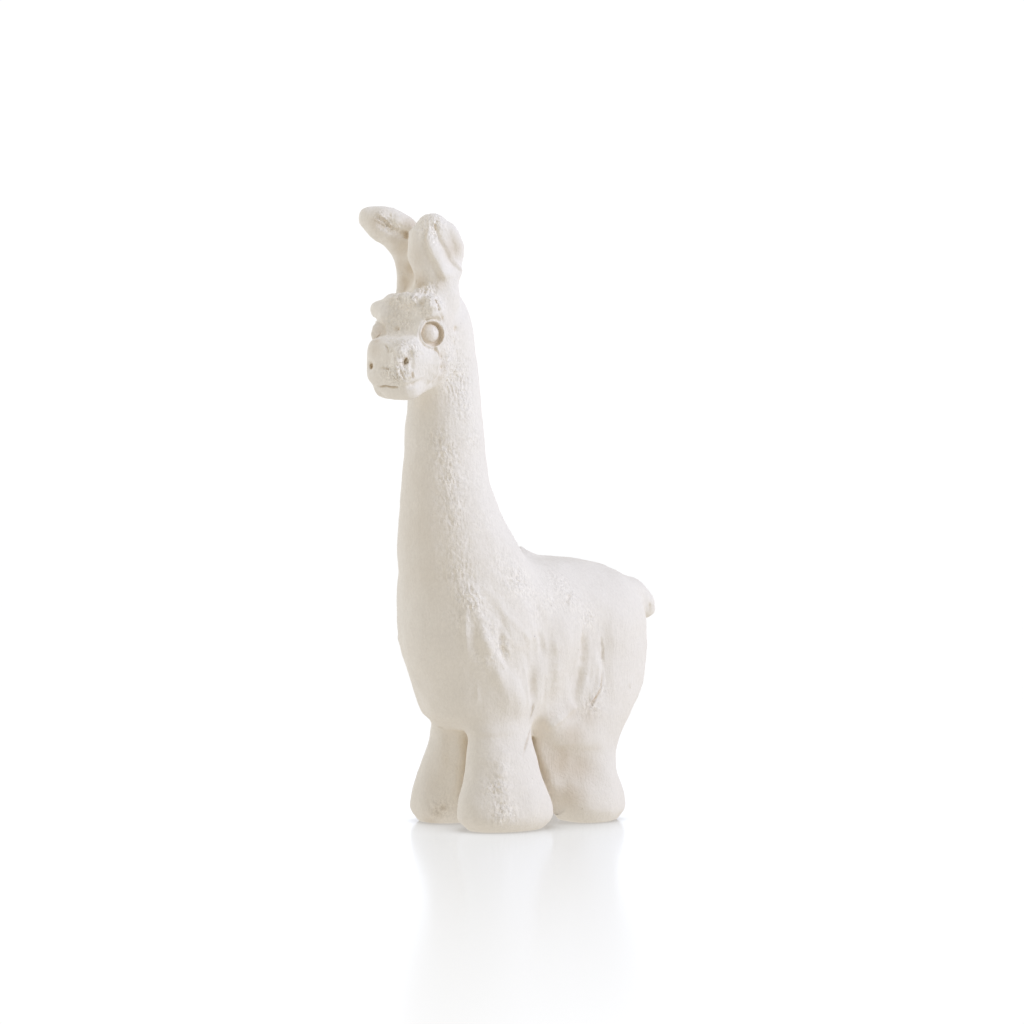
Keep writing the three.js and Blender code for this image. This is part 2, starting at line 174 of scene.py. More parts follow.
def make_surroundings():
    world = bpy.data.worlds.new("white_studio")
    world.use_nodes = True
    tree = world.node_tree
    tree.nodes.clear()
    ray = add(tree, "LightPath").outputs
    white = add(tree, "Math", {0: ray["Is Glossy Ray"], 1: 0.5, 2: 1.05}, operation="MULTIPLY_ADD")
    seen = add(tree, "Background", {"Color": (1, 1, 1, 1), "Strength": white.outputs[0]})
    way = add(tree, "TexCoord").outputs["Generated"]
    height = add(tree, "SeparateXYZ", {0: way}).outputs["Z"]
    from_below = add(
        tree, "MapRange",
        {"Value": height, "From Min": -1.0, "From Max": 1.0, "To Min": FILL * 1.34, "To Max": FILL * 0.70},
        interpolation_type="SMOOTHSTEP",
    )
    fill = add(tree, "Background", {"Color": (1.0, 0.945, 0.86, 1), "Strength": from_below.outputs["Result"]})
    sort = add(tree, "Math", {0: ray["Is Camera Ray"], 1: ray["Is Glossy Ray"]}, operation="MAXIMUM")
    both = add(tree, "MixShader", {"Fac": sort.outputs[0], 1: fill.outputs[0], 2: seen.outputs[0]})
    add(tree, "OutputWorld", {"Surface": both.outputs[0]})
    bpy.context.scene.world = world


def soft_box(name, azimuth, elevation, distance, size, power, colour, target=0.13):
    """A square light that looks at a height of the figurine."""
    light = bpy.data.lights.new(name, "AREA")
    light.shape = "SQUARE"
    light.size = size
    light.energy = power
    light.color = colour
    body = bpy.data.objects.new(name, light)
    a, e = math.radians(azimuth), math.radians(elevation)
    away = Vector((math.sin(a) * math.cos(e), -math.cos(a) * math.cos(e), math.sin(e)))
    body.location = Vector((0, 0, target)) + away * distance
    body.rotation_mode = "QUATERNION"
    body.rotation_quaternion = away.to_track_quat("Z", "Y")
    body.visible_camera = False
    bpy.context.scene.collection.objects.link(body)


make_surroundings()
soft_box("key_box", 120, 31, 1.6, 0.9, 16.2, (0.74, 0.80, 1.0))
soft_box("face_box", 5, 35, 0.35, 0.2, 0.10, (1.0, 0.95, 0.88), target=0.19)
soft_box("rim_box", -62, 20, 1.6, 0.9, 6.0, (0.86, 0.92, 1.0))
bpy.context.scene.view_settings.view_transform = "Standard"

# %% [markdown]
# ## A fine skin over the blank
# The blank has large flat facets. Its copy is welded and wrapped in a voxel skin of
# 0.5 mm cells, which is how a sculptor in Blender starts. The blank itself stays as it
# is, since the physics uses it.

# %% Voxel skin
VOXEL = 0.0005
MM = 1000.0


def skin_over(node):
    """A welded and remeshed copy of the blank's mesh."""
    work = bmesh.new()
    work.from_mesh(node.data)
    bmesh.ops.remove_doubles(work, verts=work.verts, dist=1e-6)
    copy = bpy.data.meshes.new("blank_copy")
    work.to_mesh(copy)
    work.free()
    blank = bpy.data.objects.new("blank_copy", copy)
    bpy.context.scene.collection.objects.link(blank)
    wrap = blank.modifiers.new("wrap", "REMESH")
    wrap.mode = "VOXEL"
    wrap.voxel_size = VOXEL
    bpy.context.view_layer.update()
    seen = blank.evaluated_get(bpy.context.evaluated_depsgraph_get())
    made = bpy.data.meshes.new_from_object(seen)
    made.name = "llama_clay"
    bpy.data.objects.remove(blank)
    bpy.data.meshes.remove(copy)
    return made


skin = skin_over(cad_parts["llama"])
print("skin:", len(skin.vertices), "points,", len(skin.polygons), "faces")

# %% [markdown]
# ## Smoothing with a wet thumb
# Every point moves a little towards the middle of its neighbours, many times over. That
# also shrinks the form, so the same smoothing is run on what was lost, and the result
# is put back: the facets go and the form stays. The head gets less of it than the body,
# and the soles none, because they stand flat on the table.

# %% Smooth the blank
BODY_ROUNDS = 90
HEAD_SHARE = 0.28
HEAD_FROM, HEAD_FULL = 150.0, 172.0
SOLE_FROM, SOLE_FULL = 1.0, 9.0
SOLE_SHARE = 0.05


def points_of(mesh):
    """The places of a mesh's points, in millimetres."""
    flat = np.empty(len(mesh.vertices) * 3)
    mesh.vertices.foreach_get("co", flat)
    return flat.reshape(-1, 3) * MM


def put_points(mesh, places):
    mesh.vertices.foreach_set("co", (places / MM).ravel())
    mesh.update()


def links_of(mesh):
    ends = np.empty(len(mesh.edges) * 2, dtype=np.int64)
    mesh.edges.foreach_get("vertices", ends)
    return ends.reshape(-1, 2)


def ramp(value, low, high):
    """0 below low, 1 above high, and smooth between them."""
    share = np.clip((value - low) / (high - low), 0, 1)
    return share * share * (3 - 2 * share)


def thumbed(values, ends, share, rounds):
    """The values at a mesh's points, each evened out with its neighbours."""
    count = np.bincount(ends.ravel(), minlength=len(values))[:, None]
    now = values.copy()
    for _ in range(rounds):
        near = np.zeros_like(now)
        for axis in range(now.shape[1]):
            near[:, axis] += np.bincount(ends[:, 0], now[ends[:, 1], axis], len(now))
            near[:, axis] += np.bincount(ends[:, 1], now[ends[:, 0], axis], len(now))
        now += share[:, None] * 0.5 * (near / count - now)
    return now


links = links_of(skin)
places = points_of(skin)
share = 1 - (1 - HEAD_SHARE) * ramp(places[:, 2], HEAD_FROM, HEAD_FULL)
share *= SOLE_SHARE + (1 - SOLE_SHARE) * ramp(places[:, 2], SOLE_FROM, SOLE_FULL)
evened = thumbed(places, links, share, BODY_ROUNDS)
places = evened + thumbed(places - evened, links, share, BODY_ROUNDS)
put_points(skin, places)
print("smoothed; the skin is now", np.round(np.ptp(places, axis=0), 1), "mm")

# %% The piece
clay = bpy.data.objects.new("llama_clay", skin)
bpy.context.scene.collection.objects.link(clay)
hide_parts("llama")
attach(clay, "root")

# %% [markdown]
# ## Finer cells on the head
# The eyes, nostrils and mouth are only a few millimetres wide, so the cells of the front
# of the head are halved before it is worked. The rest keeps its cells.

# %% Halve the cells of the head
HEAD_AXIS = np.array([-0.773, -35.145])
HEAD_TURN = math.radians(16.0)
HEAD_LOW = 163.0


def from_head(left, back, height):
    """A point given from the neck's axis in the turned head, as a point of the figurine."""
    cos, sin = math.cos(HEAD_TURN), math.sin(HEAD_TURN)
    x = HEAD_AXIS[0] + left * cos - back * sin
    y = HEAD_AXIS[1] + left * sin + back * cos
    return np.array([x, y, height])


def normals_of(mesh):
    flat = np.empty(len(mesh.vertices) * 3)
    mesh.vertices.foreach_get("normal", flat)
    return flat.reshape(-1, 3)


def halve_head(mesh):
    fine = bmesh.new()
    fine.from_mesh(mesh)
    fine.verts.ensure_lookup_table()
    high = points_of(mesh)[:, 2] > HEAD_LOW
    ahead = normals_of(mesh) @ np.array(BACK) > -0.35
    chosen = {edge for i in np.nonzero(high & ahead)[0] for edge in fine.verts[i].link_edges}
    bmesh.ops.subdivide_edges(fine, edges=list(chosen), cuts=1, use_grid_fill=True)
    fine.to_mesh(mesh)
    fine.free()


halve_head(skin)
print("with a finer head:", len(skin.vertices), "points")

# %% [markdown]
# ## Lines of sight
# A mark that shows in the photograph is placed by the place where it is seen: a line is
# drawn from the camera through that place of the frame, and the mark lies where the line
# first meets the clay.

# %% Sight


def seen_at(px, py):
    """Where the line of sight through a place of the frame meets or passes the clay, in mm."""
    on_film = SENSOR / FRAME_PIXELS
    across = (px - FRAME_PIXELS / 2) * on_film
    up = (FRAME_PIXELS / 2 - py) * on_film
    way = (RIGHT * across + UPWARD * up - BACK * LENS).normalized()
    hit, spot, _, _ = clay.ray_cast(EYE, way)
    if not hit:
        _, spot, _, _ = clay.closest_point_on_mesh(EYE + way * DISTANCE)
    return np.array(spot) * MM


def on_skin(spot):
    """The nearest place on the skin, in mm."""
    _, near, _, _ = clay.closest_point_on_mesh(Vector(spot) / MM)
    return np.array(near) * MM


def line_through(spots, step=0.5):
    """A smooth line through the spots, laid on the skin, with a point every step mm."""
    spots = [np.asarray(spot, float) for spot in spots]
    ends = [2 * spots[0] - spots[1], *spots, 2 * spots[-1] - spots[-2]]
    line = []
    for a, b, c, d in zip(ends, ends[1:], ends[2:], ends[3:]):
        count = max(2, int(np.linalg.norm(c - b) / step))
        for t in np.arange(count) / count:
            line.append(
                0.5 * (2 * b + (c - a) * t + (2 * a - 5 * b + 4 * c - d) * t**2 + (3 * b - a - 3 * c + d) * t**3)
            )
    line.append(spots[-1])
    return np.array([on_skin(spot) for spot in line])


# %% [markdown]
# ## Tools
# A modeller drags a stick, a nail or a fingertip over the clay. Each tool here has a
# width and a depth, and pushes the points near its line in or out along the surface's
# own direction. A furrow has raised lips, since the clay has to go somewhere.

# %% Tools
rng = np.random.default_rng(12)
MIDDLE_X = -0.773


class Work:
    """The places of the skin's points, and what the tools add to them."""

    def __init__(self, mesh):
        self.mesh = mesh
        # how much each point is painted brown as shade
        self.painted_shade = np.zeros(len(mesh.vertices))
        self.take()

    def take(self):
        self.places = points_of(self.mesh)
        self.normals = normals_of(self.mesh)
        self.push = np.zeros(len(self.places))

    def lay(self):
        """Moves the points by what the tools have pushed."""
        put_points(self.mesh, self.places + self.normals * self.push[:, None])
        bpy.context.view_layer.update()
        self.take()

    def near(self, low, high, reach):
        inside = np.all((self.places > low - reach) & (self.places < high + reach), axis=1)
        return np.nonzero(inside)[0]


work = Work(skin)


def measure(line, reach):
    """The points near a line: their numbers, distance, share along it and side."""
    some = work.near(line.min(0), line.max(0), reach)
    spots = work.places[some]
    best = np.full(len(some), 1e9)
    along = np.zeros(len(some))
    side = np.zeros(len(some))
    for i, (a, b) in enumerate(zip(line, line[1:])):
        run = b - a
        share = np.clip((spots - a) @ run / (run @ run + 1e-12), 0, 1)
        off = spots - a - share[:, None] * run
        gap = np.linalg.norm(off, axis=1)
        closer = gap < best
        across = np.cross(run, work.normals[some])
        best = np.where(closer, gap, best)
        along = np.where(closer, (i + share) / (len(line) - 1), along)
        side = np.where(closer, np.sign(np.einsum("ij,ij->i", off, across)), side)
    keep = best < reach
    return some[keep], best[keep], along[keep], side[keep]


def bell(off, width):
    return np.exp(-((off / width) ** 2))


def tapered(along, ends):
    return ramp(along, 0, ends) * ramp(1 - along, 0, ends)


def uneven(line, along, rough):
    """1 on average along a line, and uneven by the given roughness."""
    length = np.linalg.norm(np.diff(line, axis=0), axis=1).sum()
    seed = rng.uniform(0, 99)
    return 1 + rough * np.array([noise.noise(Vector((v, seed, 0.3))) for v in along * length / 2.5])


def furrow(line, width, depth, lip=0.3, ends=0.2, rough=0.5, painted_shade=0.0):
    """A dragged groove with raised lips."""
    some, off, along, _ = measure(line, width * 3.2)
    share = tapered(along, ends) * uneven(line, along, rough)
    work.push[some] += depth * share * (lip * bell(off - 1.8 * width, 0.7 * width) - bell(off, width))
    # painted shade: the middle of the groove is painted browner
    work.painted_shade[some] = np.maximum(work.painted_shade[some], painted_shade * share * bell(off, width * 1.2))


def ridge(line, width, height, ends=0.25, rough=0.5):
    some, off, along, _ = measure(line, width * 2.6)
    work.push[some] += height * tapered(along, ends) * uneven(line, along, rough) * bell(off, width)


def lap(line, height, steep, gentle, ends=0.2, rough=0.3):
    """Clay dragged over clay: a lip that falls gently to one side and steeply to the other.
    Drawn from the right to the left, it is gentle above and steep below."""
    some, off, along, side = measure(line, gentle * 2.6)
    fall = np.where(side > 0, bell(off, gentle), bell(off, steep))
    work.push[some] += height * fall * tapered(along, ends) * uneven(line, along, rough)


def dab(spot, radius, height):
    """A soft lump, or a dent where the height is negative."""
    some = work.near(spot, spot, radius * 2.6)
    off = np.linalg.norm(work.places[some] - spot, axis=1)
    work.push[some] += height * bell(off, radius)


def fill(spot, radius, height):
    """Clay pressed into a hollow: the places near the spot come towards the camera."""
    some = work.near(spot, spot, radius * 2.6)
    off = np.linalg.norm(work.places[some] - spot, axis=1)
    work.places[some] += (height * bell(off, radius))[:, None] * np.array(BACK)


def seen_line(*marks):
    return line_through([seen_at(*mark) for mark in marks])


def facing_away():
    """1 where the skin faces away from the camera and 0 where it faces the camera."""
    return ramp(-(work.normals @ np.array(BACK)), 0.05, 0.4)


def worked(spots):
    """How much each point is worked: 1 at the middle of a full spot, on either side."""
    share = np.zeros(len(work.places))
    mirrored = work.places * [-1, 1, 1] + [2 * MIDDLE_X, 0, 0]
    away = facing_away()
    for px, py, radius, most in spots:
        middle = seen_at(px, py)
        seen = bell(np.linalg.norm(work.places - middle, axis=1), radius)
        unseen = bell(np.linalg.norm(mirrored - middle, axis=1), radius) * away
        share = np.maximum(share, most * np.maximum(seen, unseen))
    return share


# %% [markdown]
# ## Shape that the blank lacks
# A few soft lumps bring the blank nearer to the real figurine: the tail flows into the
# rump, the hollows between the legs are shallower, and the corner of the chin is rounder.

# %% Add and shave clay
LUMPS = [
    # the ears' outlines
    (442, 222, 4.5, 0.9), (450, 232, 4.0, 2.3), (456, 245, 4.0, 1.9), (455, 270, 4.0, 2.8), (400, 214, 4.0, 0.8),
    (455, 302, 5.0, 0.8), (463, 326, 5.0, 0.9), (402, 285, 4.0, -2.8), (389, 298, 3.0, 1.2),
    # the far side of the face, the chin, the muzzle and the cheek
    (377, 337, 3.0, 1.6), (376, 329, 3.0, 0.9), (373, 342, 2.0, 0.9), (376, 396, 3.0, -1.7), (382, 399, 3.0, -0.7),
    (415, 342, 3.0, 1.3), (424, 361, 4.6, 1.4),
    # the neck, and where it runs out into the back
    (405, 450, 14.0, -0.4), (403, 505, 12.0, -0.3), (484, 424, 8.0, 0.6), (511, 535, 5.0, 0.7), (516, 542, 4.0, 1.2), (521, 548.5, 3.5, 1.1),
    (525, 551.5, 3.5, 1.3), (531, 554.5, 4.0, 0.9), (544, 556, 5.0, -1.1),
    # the chest
    (397, 600, 14.0, -0.7), (399, 640, 12.0, -0.6), (418, 706, 9.0, -1.9), (626, 716, 8.0, 0.7),
    # the tail
    (600, 565, 7.0, -0.7), (620, 571, 6.0, -0.5), (645.5, 636, 8.0, -1.5), (622, 580, 5.0, 0.7),
    # the legs
    (564, 764, 10.0, -2.6), (586, 766, 8.0, -2.0), (607, 775, 5.0, 0.8), (411, 800, 8.0, -1.0), (623, 806, 6.0, -1.0),
]
HOLLOWS = [
    # under the belly, between the left legs and between the front legs
    (545, 727, 6.0, 4.5), (556, 720, 5.0, 2.5),
    (534, 739, 4.0, 3.5), (537, 751, 4.5, 4.5), (543, 768, 4.5, 4.5), (549, 786, 4.5, 4.0), (553, 803, 4.5, 2.5),
    (464, 738, 3.5, 3.0), (464.5, 752, 3.5, 3.8), (463, 766, 3.5, 3.8), (460.5, 780, 3.5, 3.4), (457.5, 796, 3.5, 2.4),
]
for px, py, radius, height in LUMPS:
    dab(seen_at(px, py), radius, height)
work.lay()
for spot, (_, _, radius, height) in [(seen_at(*hollow[:2]), hollow) for hollow in HOLLOWS]:
    fill(spot, radius, height)
work.lay()

TAIL_DROP, TAIL_FROM, TAIL_FULL, TAIL_HEIGHT = 2.5, 55.0, 68.0, 87.0
hanging = ramp(work.places[:, 1], TAIL_FROM, TAIL_FULL) * bell(work.places[:, 2] - TAIL_HEIGHT, 13.0)
work.places[:, 2] -= TAIL_DROP * hanging
work.lay()
dab(seen_at(650.5, 602), 4.0, 1.5)
dab(seen_at(636, 585), 4.0, 0.5)
work.lay()

# %% [markdown]
# ## Soft corners between the legs
# A wet thumb goes over the new clay, so that the legs run into each other and the tail
# runs into the rump.

# %% Smooth the corners
SOFT_SPOTS = [
    (539, 718, 6, 1.0), (544, 728, 6, 1.0), (533, 738, 6, 1.0), (537, 748, 6, 1.0), (541, 760, 6, 1.0), (545, 775, 6, 1.0), (550, 792, 6, 1.0), (555, 808, 6, 1.0),
    (556, 818, 6, 1.0), (461, 738, 4.5, 1.0), (461, 750, 4.5, 1.0), (460, 765, 4.5, 1.0), (458, 780, 4.5, 1.0), (456, 794, 4, 0.8), (642, 618, 4, 0.6), (524, 551, 8, 0.9),
    (380, 341, 4, 0.6), (392, 338, 5, 0.7), (404, 335, 5, 0.7), (413, 336, 4, 0.6), (375, 342, 3, 0.7),
]
SOFT_ROUNDS = 100
work.places = thumbed(work.places, links_of(skin), worked(SOFT_SPOTS), SOFT_ROUNDS)
work.lay()
dab(seen_at(520, 548), 1.9, 1.0)
work.lay()

# %% [markdown]
# ## Rounder feet
# The clay of each foot draws in where it meets the table: the lowest millimetres are
# scaled towards the middle of the foot.

# %% Draw the feet in
MIDDLE_Y = 8.0
FOOT_HEIGHT = 7.0
DRAWN_IN = 0.17

low = work.places[:, 2] < FOOT_HEIGHT
for left in (False, True):
    for front in (False, True):
        foot = low & ((work.places[:, 0] > MIDDLE_X) == left) & ((work.places[:, 1] < MIDDLE_Y) == front)
        middle = np.median(work.places[foot & (work.places[:, 2] < 1)], axis=0)
        pull = DRAWN_IN * (1 - work.places[foot, 2] / FOOT_HEIGHT).clip(0, 1) ** 2
        work.places[foot, :2] += (middle[:2] - work.places[foot, :2]) * pull[:, None]
        print("foot at", np.round(middle[:2], 1))
work.lay()

# %% [markdown]
# ## The wool of the flanks and chest
# Fingers drawn down through soft clay leave long uneven folds that lean backwards at the
# chest and hang straight at the rump. They are noise that is stretched downwards, with
# sharp creases between rounded folds, where the list says that the wool was worked.

# %% Folds of the wool
WOOL_SPOTS = [
    (474, 600, 9, 0.5), (486, 640, 9, 0.6), (505, 625, 9, 0.8), (505, 668, 9, 0.7), (530, 640, 11, 1.0),
    (545, 690, 9, 0.6), (560, 640, 10, 0.7), (586, 640, 9, 0.8), (584, 680, 9, 0.9), (525, 690, 8, 0.7),
    (548, 600, 9, 0.5), (500, 590, 9, 0.4), (600, 680, 6, 0.8),
]
LEAN_FRONT, LEAN_REAR = -30.0, 12.0


def noise_at(spots, scale, seed, octaves=2):
    """Soft noise between about -1 and 1, with features of the given sizes in mm."""
    scaled = spots / np.asarray(scale, float) + seed
    return np.array([noise.fractal(v, 1.0, 2.0, octaves) for v in map(Vector, scaled)])


def crumbs_at(spots, scale, seed, octaves=3):
    """Noise with sharp creases, between 0 and about 1."""
    scaled = spots / np.asarray(scale, float) + seed
    return np.array([noise.turbulence(v, octaves, True) for v in map(Vector, scaled)])


lean = 0.6 * (1 - ramp(work.places[:, 1], LEAN_FRONT, LEAN_REAR))
drawn = work.places.copy()
drawn[:, 1] += lean * (drawn[:, 2] - 60)
folded = worked(WOOL_SPOTS)
folds = 0.42 - crumbs_at(drawn, (6.5, 6.5, 22.0), 2.7, 2)
fine_folds = 0.42 - crumbs_at(drawn, (2.6, 2.6, 11.0), 6.1, 2)
work.push += (1.3 * folds + 0.4 * fine_folds) * folded
work.lay()
print("folds from", round(float(folds.min()), 2), "to", round(float(folds.max()), 2))

# %% [markdown]
# ## Strokes and slits
# The strongest strokes get a line of their own: ridges that catch the light, dragged
# furrows, and a few slits where two strokes met. Below, the wool ends in a soft edge that
# hangs over the legs. The side that isn't seen gets the same, each a little shifted.

# %% Wool strokes
FLANK_RIDGES = [
    ([(449, 430), (455, 500), (463, 548), (472, 590), (479, 612)], 6.5, 0.4),
    ([(472, 594), (480, 616), (487, 640), (494, 664), (502, 684), (508, 699), (516, 713)], 2.0, 0.9),
    ([(465, 598), (466, 622), (467, 642), (468, 668)], 1.0, 0.8),
    ([(477, 678), (477.5, 692), (478, 706)], 0.6, 0.4),
    ([(522, 654), (525, 681), (527, 709)], 1.1, 0.6),
    ([(551, 620), (555, 640), (556, 660), (555, 680), (554, 704)], 2.4, 1.2),
    ([(592, 636), (594, 656), (593, 674), (590, 690)], 1.2, 0.6),
    ([(596, 646), (598, 672), (596, 690), (586, 708)], 1.2, 1.0),
    ([(488, 738), (497, 760), (502, 790), (504, 815)], 4.5, 1.0),
    ([(507, 742), (503, 760), (505, 785)], 2.0, 0.5),
]
FLANK_FURROWS = [
    ([(498, 616), (500, 634), (502, 650), (507, 664), (512, 680)], 1.4, 0.9, 0.0),
    ([(473, 604), (474, 620), (476, 640), (481, 656), (486, 668)], 1.8, 0.6, 0.0),
    ([(532, 660), (531, 688), (532, 712)], 1.6, 0.9, 0.0),
    ([(534.5, 702), (532, 712), (528.5, 722)], 0.4, 0.9, 0.3),
    ([(533, 722), (528, 738), (521.5, 760)], 0.35, 0.9, 0.35),
    ([(537, 626), (541, 642), (544, 662)], 1.3, 0.8, 0.0),
    ([(572, 592), (568, 598), (565, 606)], 0.5, 0.5, 0.1),
    ([(583, 612), (584, 634), (583, 654), (581, 668), (577, 682), (574, 696), (572, 714)], 1.7, 1.1, 0.05),
    ([(600, 630), (602, 650), (603, 668)], 0.5, 0.5, 0.0),
    ([(604, 644), (603, 654), (602.5, 663)], 0.35, 0.4, 0.05),
    ([(602.5, 668), (600.5, 681), (598, 692), (590, 706), (587, 713)], 0.5, 1.2, 0.3),
    ([(629, 682), (630, 691)], 0.5, 0.4, 0.1),
    ([(648.5, 601), (649.5, 612)], 0.5, 0.6, 0.1),
    ([(432, 720.5), (438, 723.5), (447, 726)], 0.45, 0.9, 0.3),
]
WOOL_EDGES = [
    ([(465, 729), (452, 727.5), (441, 725), (432, 720)], 0.9, 0.9, 4.0),
    ([(522, 729), (500, 733), (481, 732), (464, 729)], 0.5, 1.2, 3.0),
    ([(578, 705), (568, 713), (557, 722), (545, 731)], 1.4, 1.0, 4.0),
    ([(608, 745), (586, 744), (566, 743), (548, 744)], 0.6, 2.0, 4.0),
]


def other_side(line):
    """The line on the flank that isn't seen, a little out of place."""
    shift = rng.normal(0, 1.2, 3)
    mirrored = line * [-1, 1, 1] + [2 * MIDDLE_X, 0, 0] + shift * [0, 1, 1]
    return np.array([on_skin(spot) for spot in mirrored])


ridges = [(seen_line(*marks), *rest) for marks, *rest in FLANK_RIDGES]
furrows = [(seen_line(*marks), *rest) for marks, *rest in FLANK_FURROWS]
edges = [(seen_line(*marks), *rest) for marks, *rest in WOOL_EDGES]
for line, width, height in ridges:
    ridge(line, width, height, ends=0.4, rough=0.5)
for line, width, depth, painted_shade in furrows:
    furrow(line, width, depth, ends=0.4, rough=0.5, painted_shade=painted_shade)
for line, height, steep, gentle in edges:
    lap(line, height, steep, gentle)
work.lay()
for line, width, height in ridges:
    ridge(other_side(line), width, height, ends=0.4, rough=0.5)
for line, width, depth, _ in furrows:
    furrow(other_side(line), width, depth, ends=0.4, rough=0.5)
for line, height, steep, gentle in edges:
    lap(other_side(line)[::-1], height, steep, gentle)
work.push *= facing_away()
work.lay()
print("the wool has", 2 * (len(FLANK_RIDGES) + len(FLANK_FURROWS) + len(WOOL_EDGES)), "strokes")

# %% [markdown]
# ## Eyes
# A tube is pressed into the face, which leaves a thin raised ring, and a ball of clay is
# set into the hole, a little low and forward, so a dark gap shows behind it. Here the
# cheek is first made even round the eye, and then each point is raised or sunk by its
# distance from the middle of the ring.

# %% Eyes
EYE_FACING = math.radians(53.0)
EYE_RING = 5.1
RING_HALF = 0.5
HOLE_DEPTH = 1.3
BALL = 4.0
BALL_STAND = 1.3


def set_eye(spot, facing, ball_shift):
    """A ring and a ball round a spot, looking away from the head at an angle from ahead."""
    turn = HEAD_TURN + facing
    axis = np.array([math.sin(turn), -math.cos(turn), 0.0])
    level = np.array([math.cos(turn), math.sin(turn), 0.0])
    upright = np.array([0.0, 0.0, 1.0])
    some = work.near(spot, spot, 10.0)
    off = work.places[some] - spot
    out, u, v = off @ axis, off @ level, off @ upright
    far = np.hypot(u, v)
    outer = (work.normals[some] @ axis > -0.2) & (np.abs(out) < 6) & (far < 9.5)
    some, out, u, v, far = (part[outer] for part in (some, out, u, v, far))
    rim = (far > 6.2) & (far < 8.5)
    terms = np.stack([np.ones_like(u), u, v], axis=1)
    fit, *_ = np.linalg.lstsq(terms[rim], out[rim], rcond=None)
    even = 1 - ramp(far, 5.4, 7.4)
    base = out * (1 - even) + (terms @ fit) * even
    ring = 0.85 * bell(far - EYE_RING, RING_HALF)
    hole = -HOLE_DEPTH * (1 - ramp(far, EYE_RING - 0.75, EYE_RING - 0.25))
    near = np.hypot(u - ball_shift[0], v - ball_shift[1])
    dot = 0.18 * bell(near - 0.75, 0.3)
    cap = np.sqrt(np.maximum(BALL**2 - near**2, 0)) - BALL + BALL_STAND + dot
    sunk = np.maximum(hole, np.where(near < BALL, cap, -9))
    raised = base + np.where(far < EYE_RING + 3 * RING_HALF, sunk + ring, 0)
    gap = (far < EYE_RING - 0.3) & (near > BALL - 0.4)
    # painted shade: the gap round the ball, darker on its right, and the left side of the ball are painted brown
    painted_eye_shade = np.where(gap, 0.15 + 0.3 * ramp(u, -1, 2), 0.24 * ramp(-u, -1.5, 1.0) * (far < EYE_RING - 0.3))
    work.painted_shade[some] = np.maximum(work.painted_shade[some], painted_eye_shade)
    work.places[some] += (raised - out)[:, None] * axis
    put_points(skin, work.places)
    bpy.context.view_layer.update()
    work.take()


set_eye(seen_at(434.6, 333.5), EYE_FACING, (-0.35, 0.1))
set_eye(on_skin(from_head(-12.6, -28.0, 190.0)), -EYE_FACING, (0.3, -0.3))
print("eyes set")

# %% [markdown]
# ## Face
# Brows of small pinched lumps, nostrils pushed in with a stick, a slit mouth and a fuller
# lower lip. Each is a dab or a stroke of its own.

# %% Face
DABS = [
    (412, 299, 1.7, 1.4),
    (430, 305, 1.6, 1.5),
    (418, 296, 2.4, 0.5),
    (406, 360, 1.8, -0.4),
    (371.8, 366, 0.6, -0.2),
    (404, 297, 2.0, 0.7),
    (391, 305, 2.2, -0.9),
    (422, 303, 1.2, -1.4),
    (439.2, 310, 0.6, -1.3),
    (436.5, 302, 1.0, -0.9),
    (443, 319, 0.8, -0.8),
    (398.5, 329, 0.6, -0.6),
    (456, 329, 1.0, -1.4),
    (446, 358, 2.2, -0.7),
    (449, 370, 2.0, -0.6),
    (454, 343, 2.5, -0.4),
    (401, 350, 2.0, 0.7),
    (396, 360, 1.8, 0.5),
    (416, 282.5, 0.6, -0.9),
    (410, 354, 1.2, -0.7),
]
for px, py, radius, height in DABS:
    dab(seen_at(px, py), radius, height)
FACE_FURROWS = [
    ([(405.6, 359.5), (405.2, 362), (404.7, 364.5)], 0.32, 0.55, 0.1, 0.6),
    ([(405.5, 361), (408, 357), (411, 353)], 1.0, 0.6, 0.2, 0.1),
    ([(371.3, 363), (371.6, 366), (372, 369)], 0.45, 0.6, 0.2, 0.6),
    ([(383, 342), (392, 339), (402, 335.5)], 1.0, 0.4, 0.3, 0.08),
    ([(376.5, 386), (381, 386.8), (386, 386), (393, 387.3), (400, 387)], 0.3, 0.9, 0.2, 0.4),
    ([(399, 387.5), (407, 386), (415, 383), (425, 379)], 0.9, 0.3, 0.3, 0.02),
    ([(412.3, 371), (412.5, 374.5), (412.8, 379)], 0.4, 0.9, 0.3, 0.4),
    ([(379, 367.5), (385, 368.5), (392, 369.5)], 0.35, 0.5, 0.3, 0.2),
    ([(435, 347), (437.5, 352), (441, 358)], 0.45, 0.8, 0.3, 0.2),
    ([(440, 349), (443, 361), (439, 376)], 1.8, 1.1, 0.0, 0.12),
    ([(436.5, 349), (439, 361), (436, 374), (429, 385)], 0.6, 0.8, 0.2, 0.25),
    ([(413.5, 350), (411.5, 362), (413, 374)], 1.0, 0.4, 0.0, 0.0),
    ([(392, 372), (396, 377), (400, 381)], 0.35, 0.5, 0.5, 0.05),
    ([(399, 369), (402, 374), (405, 380)], 0.35, 0.5, 0.5, 0.05),
    ([(385, 344), (388, 349), (389, 354)], 0.4, 0.5, 0.5, 0.05),
    ([(397, 371), (398, 376), (397, 381)], 0.35, 0.4, 0.5, 0.05),
    ([(434, 298), (437.5, 304), (439, 311)], 0.5, 0.9, 0.2, 0.25),
    ([(440, 313), (442.5, 318), (443.5, 323)], 0.45, 0.8, 0.2, 0.2),
]
for marks, width, depth, lip, painted_shade in FACE_FURROWS:
    furrow(seen_line(*marks), width, depth, lip=lip, ends=0.3, painted_shade=painted_shade)
ridge(seen_line((386, 298), (394, 298.5), (400, 303), (402, 309)), 0.7, 0.6)
ridge(seen_line((385, 299), (400, 296.5), (413, 293), (426, 289.5), (443, 286)), 1.5, 0.8, rough=1.2)
furrow(seen_line((397, 291), (412, 290), (430, 284)), 1.2, 0.5, painted_shade=0.12)
ridge(seen_line((427, 296), (431, 306), (430.5, 316), (429, 321)), 1.8, 1.3)
